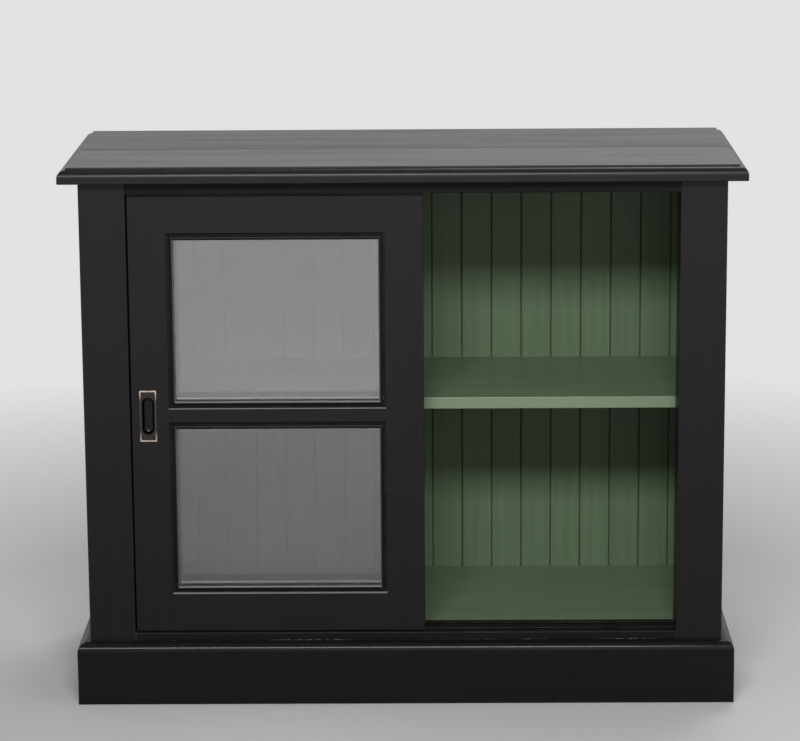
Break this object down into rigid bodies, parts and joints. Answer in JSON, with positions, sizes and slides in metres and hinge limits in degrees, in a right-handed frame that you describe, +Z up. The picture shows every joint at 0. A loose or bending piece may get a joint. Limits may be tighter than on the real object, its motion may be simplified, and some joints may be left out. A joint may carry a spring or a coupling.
{
  "type": "sideboard with sliding glazed doors",
  "caption": "Low cupboard with a moulded top, plinth, shelf and boarded back, closed by glazed doors that slide past each other in grooved tracks.",
  "frame": {"origin": "on the floor, under the middle of the top's outline", "axes": "+X to the right along the width as seen from the front, +Y towards the back, +Z up"},
  "size_m": [1, 0.4, 0.81],
  "materials": {
    "black_paint": "satin black paint on pine, slightly worn at the edges",
    "green_paint": "matt olive-green paint on pine boards",
    "bare_pine": "bare planed pine",
    "clear_glass": "clear float glass",
    "aged_brass": "blackened brass, rubbed bright along the rim",
    "steel": "plain steel"
  },
  "bodies": {
    "carcass": {"back_board_01": "green_paint", "back_board_02": "green_paint", "back_board_03": "green_paint", "back_board_04": "green_paint", "back_board_05": "green_paint", "back_board_06": "green_paint", "back_board_07": "green_paint", "back_board_08": "green_paint", "back_board_09": "green_paint", "back_board_10": "green_paint", "back_board_11": "green_paint", "back_nails": "steel", "bottom_rear_rail": "bare_pine", "door_head": "black_paint", "door_sill": "black_paint", "floor_cleat_left": "bare_pine", "floor_cleat_right": "bare_pine", "floor_panel": "green_paint", "plinth_front": "black_paint", "plinth_left": "black_paint", "plinth_right": "black_paint", "post_front_left": "black_paint", "post_front_right": "black_paint", "shelf": "green_paint", "shelf_pins": "steel", "side_panel_left": "black_paint", "side_panel_right": "black_paint", "top_board_front": "black_paint", "top_board_rear": "black_paint", "top_cleat_left": "bare_pine", "top_cleat_right": "bare_pine", "top_rear_rail": "bare_pine", "top_screws": "steel"},
    "front_door": {"front_door_glass_lower": "clear_glass", "front_door_glass_upper": "clear_glass", "front_door_glazing_beads": "black_paint", "front_door_lower_moulding": "black_paint", "front_door_pull": "aged_brass", "front_door_rail_bottom": "black_paint", "front_door_rail_middle": "black_paint", "front_door_rail_top": "black_paint", "front_door_stile_left": "black_paint", "front_door_stile_right": "black_paint", "front_door_upper_moulding": "black_paint"},
    "rear_door": {"rear_door_glass_lower": "clear_glass", "rear_door_glass_upper": "clear_glass", "rear_door_glazing_beads": "black_paint", "rear_door_lower_moulding": "black_paint", "rear_door_pull": "aged_brass", "rear_door_rail_bottom": "black_paint", "rear_door_rail_middle": "black_paint", "rear_door_rail_top": "black_paint", "rear_door_stile_left": "black_paint", "rear_door_stile_right": "black_paint", "rear_door_upper_moulding": "black_paint"}
  },
  "joints": [
    {"name": "front_door_slide", "type": "slide", "parent": "carcass", "child": "front_door", "axis": [1, 0, 0], "range_m": [0, 0.373]},
    {"name": "rear_door_slide", "type": "slide", "parent": "carcass", "child": "rear_door", "axis": [1, 0, 0], "range_m": [0, 0.373]}
  ]
}
